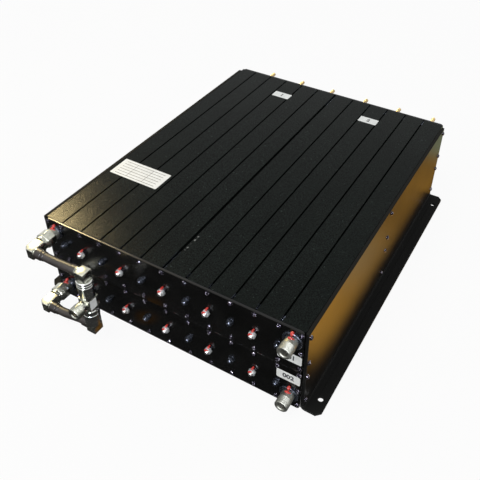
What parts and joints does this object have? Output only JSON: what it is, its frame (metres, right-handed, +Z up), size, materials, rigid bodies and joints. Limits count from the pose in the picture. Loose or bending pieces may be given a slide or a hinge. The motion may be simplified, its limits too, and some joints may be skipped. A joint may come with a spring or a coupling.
{
  "type": "rf cavity duplexer",
  "caption": "Two decks of black extruded filter cavities between side brackets, with coaxial panel jacks, tuning rods and a front cable harness ending in a tee.",
  "frame": {"origin": "middle of the whole part's footprint, on the plane of the bracket feet", "axes": "+Z up, +X to the right along the front, +Y from the connector side to the tuning rod side"},
  "size_m": [0.396, 0.5822, 0.1277],
  "materials": {
    "black_anodised": "satin black anodised extrusion",
    "black_paint": "semi gloss black paint",
    "silver_plate": "silver plated tube",
    "brass": "bare threaded brass",
    "nickel": "nickel plated brass",
    "black_jacket": "satin black cable jacket"
  },
  "bodies": {
    "body": {"cavity_block_lower_left": "black_anodised", "cavity_block_lower_right": "black_anodised", "cavity_block_upper_left": "black_anodised", "cavity_block_upper_right": "black_anodised", "front_plate_lower": "black_paint", "front_plate_upper": "black_paint", "rear_plate_lower": "black_paint", "rear_plate_upper": "black_paint", "side_bracket_left": "black_paint", "side_bracket_right": "black_paint", "resonator_lower_1": "silver_plate", "resonator_lower_2": "silver_plate", "resonator_lower_3": "silver_plate", "resonator_lower_4": "silver_plate", "resonator_lower_5": "silver_plate", "resonator_lower_6": "silver_plate", "resonator_upper_1": "silver_plate", "resonator_upper_2": "silver_plate", "resonator_upper_3": "silver_plate", "resonator_upper_4": "silver_plate", "resonator_upper_5": "silver_plate", "resonator_upper_6": "silver_plate", "panel_jack_lower_left": "nickel", "panel_jack_lower_right": "nickel", "panel_jack_upper_left": "nickel", "panel_jack_upper_right": "nickel", "elbow_plug_lower": "nickel", "elbow_plug_upper": "nickel", "square_plug_lower": "nickel", "square_plug_upper": "nickel", "harness_cable_lower": "black_jacket", "harness_cable_upper": "black_jacket", "tee_connector": "nickel"},
    "coupling_nut_lower_jack": {"coupling_nut_lower_jack": "nickel"},
    "coupling_nut_upper_jack": {"coupling_nut_upper_jack": "nickel"},
    "coupling_nut_lower_tee": {"coupling_nut_lower_tee": "nickel"},
    "coupling_nut_upper_tee": {"coupling_nut_upper_tee": "nickel"},
    "tuning_rod_lower_1": {"tuning_rod_lower_1": "brass"},
    "tuning_rod_lower_2": {"tuning_rod_lower_2": "brass"},
    "tuning_rod_lower_3": {"tuning_rod_lower_3": "brass"},
    "tuning_rod_lower_4": {"tuning_rod_lower_4": "brass"},
    "tuning_rod_lower_5": {"tuning_rod_lower_5": "brass"},
    "tuning_rod_lower_6": {"tuning_rod_lower_6": "brass"},
    "tuning_rod_upper_1": {"tuning_rod_upper_1": "brass"},
    "tuning_rod_upper_2": {"tuning_rod_upper_2": "brass"},
    "tuning_rod_upper_3": {"tuning_rod_upper_3": "brass"},
    "tuning_rod_upper_4": {"tuning_rod_upper_4": "brass"},
    "tuning_rod_upper_5": {"tuning_rod_upper_5": "brass"},
    "tuning_rod_upper_6": {"tuning_rod_upper_6": "brass"},
    "coupling_screw_lower_1": {"coupling_screw_lower_1": "nickel"},
    "coupling_screw_lower_2": {"coupling_screw_lower_2": "nickel"},
    "coupling_screw_lower_3": {"coupling_screw_lower_3": "nickel"},
    "coupling_screw_lower_4": {"coupling_screw_lower_4": "nickel"},
    "coupling_screw_lower_5": {"coupling_screw_lower_5": "nickel"},
    "coupling_screw_upper_1": {"coupling_screw_upper_1": "nickel"},
    "coupling_screw_upper_2": {"coupling_screw_upper_2": "nickel"},
    "coupling_screw_upper_3": {"coupling_screw_upper_3": "nickel"},
    "coupling_screw_upper_4": {"coupling_screw_upper_4": "nickel"},
    "coupling_screw_upper_5": {"coupling_screw_upper_5": "nickel"}
  },
  "joints": [
    {"name": "nut_turn_lower_jack", "type": "hinge", "parent": "body", "child": "coupling_nut_lower_jack", "pos_m": [-0.15905, -0.2406, 0.0225], "axis": [0, -1, 0], "continuous": true},
    {"name": "nut_turn_upper_jack", "type": "hinge", "parent": "body", "child": "coupling_nut_upper_jack", "pos_m": [-0.15905, -0.2406, 0.1125], "axis": [0, -1, 0], "continuous": true},
    {"name": "nut_turn_lower_tee", "type": "hinge", "parent": "body", "child": "coupling_nut_lower_tee", "pos_m": [-0.08125, -0.2661, 0.0485], "axis": [0, 0, 1], "continuous": true},
    {"name": "nut_turn_upper_tee", "type": "hinge", "parent": "body", "child": "coupling_nut_upper_tee", "pos_m": [-0.08125, -0.2661, 0.0938], "axis": [0, 0, 1], "continuous": true},
    {"name": "rod_slide_lower_1", "type": "slide", "parent": "body", "child": "tuning_rod_lower_1", "axis": [0, 1, 0], "range_m": [-0.04, 0.03]},
    {"name": "rod_slide_lower_2", "type": "slide", "parent": "body", "child": "tuning_rod_lower_2", "axis": [0, 1, 0], "range_m": [-0.04, 0.03]},
    {"name": "rod_slide_lower_3", "type": "slide", "parent": "body", "child": "tuning_rod_lower_3", "axis": [0, 1, 0], "range_m": [-0.04, 0.03]},
    {"name": "rod_slide_lower_4", "type": "slide", "parent": "body", "child": "tuning_rod_lower_4", "axis": [0, 1, 0], "range_m": [-0.04, 0.03]},
    {"name": "rod_slide_lower_5", "type": "slide", "parent": "body", "child": "tuning_rod_lower_5", "axis": [0, 1, 0], "range_m": [-0.04, 0.03]},
    {"name": "rod_slide_lower_6", "type": "slide", "parent": "body", "child": "tuning_rod_lower_6", "axis": [0, 1, 0], "range_m": [-0.04, 0.03]},
    {"name": "rod_slide_upper_1", "type": "slide", "parent": "body", "child": "tuning_rod_upper_1", "axis": [0, 1, 0], "range_m": [-0.04, 0.03]},
    {"name": "rod_slide_upper_2", "type": "slide", "parent": "body", "child": "tuning_rod_upper_2", "axis": [0, 1, 0], "range_m": [-0.04, 0.03]},
    {"name": "rod_slide_upper_3", "type": "slide", "parent": "body", "child": "tuning_rod_upper_3", "axis": [0, 1, 0], "range_m": [-0.04, 0.03]},
    {"name": "rod_slide_upper_4", "type": "slide", "parent": "body", "child": "tuning_rod_upper_4", "axis": [0, 1, 0], "range_m": [-0.04, 0.03]},
    {"name": "rod_slide_upper_5", "type": "slide", "parent": "body", "child": "tuning_rod_upper_5", "axis": [0, 1, 0], "range_m": [-0.04, 0.03]},
    {"name": "rod_slide_upper_6", "type": "slide", "parent": "body", "child": "tuning_rod_upper_6", "axis": [0, 1, 0], "range_m": [-0.04, 0.03]},
    {"name": "screw_slide_lower_1", "type": "slide", "parent": "body", "child": "coupling_screw_lower_1", "axis": [0, -1, 0], "range_m": [-0.003, 0.006]},
    {"name": "screw_slide_lower_2", "type": "slide", "parent": "body", "child": "coupling_screw_lower_2", "axis": [0, -1, 0], "range_m": [-0.003, 0.006]},
    {"name": "screw_slide_lower_3", "type": "slide", "parent": "body", "child": "coupling_screw_lower_3", "axis": [0, -1, 0], "range_m": [-0.003, 0.006]},
    {"name": "screw_slide_lower_4", "type": "slide", "parent": "body", "child": "coupling_screw_lower_4", "axis": [0, -1, 0], "range_m": [-0.003, 0.006]},
    {"name": "screw_slide_lower_5", "type": "slide", "parent": "body", "child": "coupling_screw_lower_5", "axis": [0, -1, 0], "range_m": [-0.003, 0.006]},
    {"name": "screw_slide_upper_1", "type": "slide", "parent": "body", "child": "coupling_screw_upper_1", "axis": [0, -1, 0], "range_m": [-0.003, 0.006]},
    {"name": "screw_slide_upper_2", "type": "slide", "parent": "body", "child": "coupling_screw_upper_2", "axis": [0, -1, 0], "range_m": [-0.003, 0.006]},
    {"name": "screw_slide_upper_3", "type": "slide", "parent": "body", "child": "coupling_screw_upper_3", "axis": [0, -1, 0], "range_m": [-0.003, 0.006]},
    {"name": "screw_slide_upper_4", "type": "slide", "parent": "body", "child": "coupling_screw_upper_4", "axis": [0, -1, 0], "range_m": [-0.003, 0.006]},
    {"name": "screw_slide_upper_5", "type": "slide", "parent": "body", "child": "coupling_screw_upper_5", "axis": [0, -1, 0], "range_m": [-0.003, 0.006]}
  ]
}
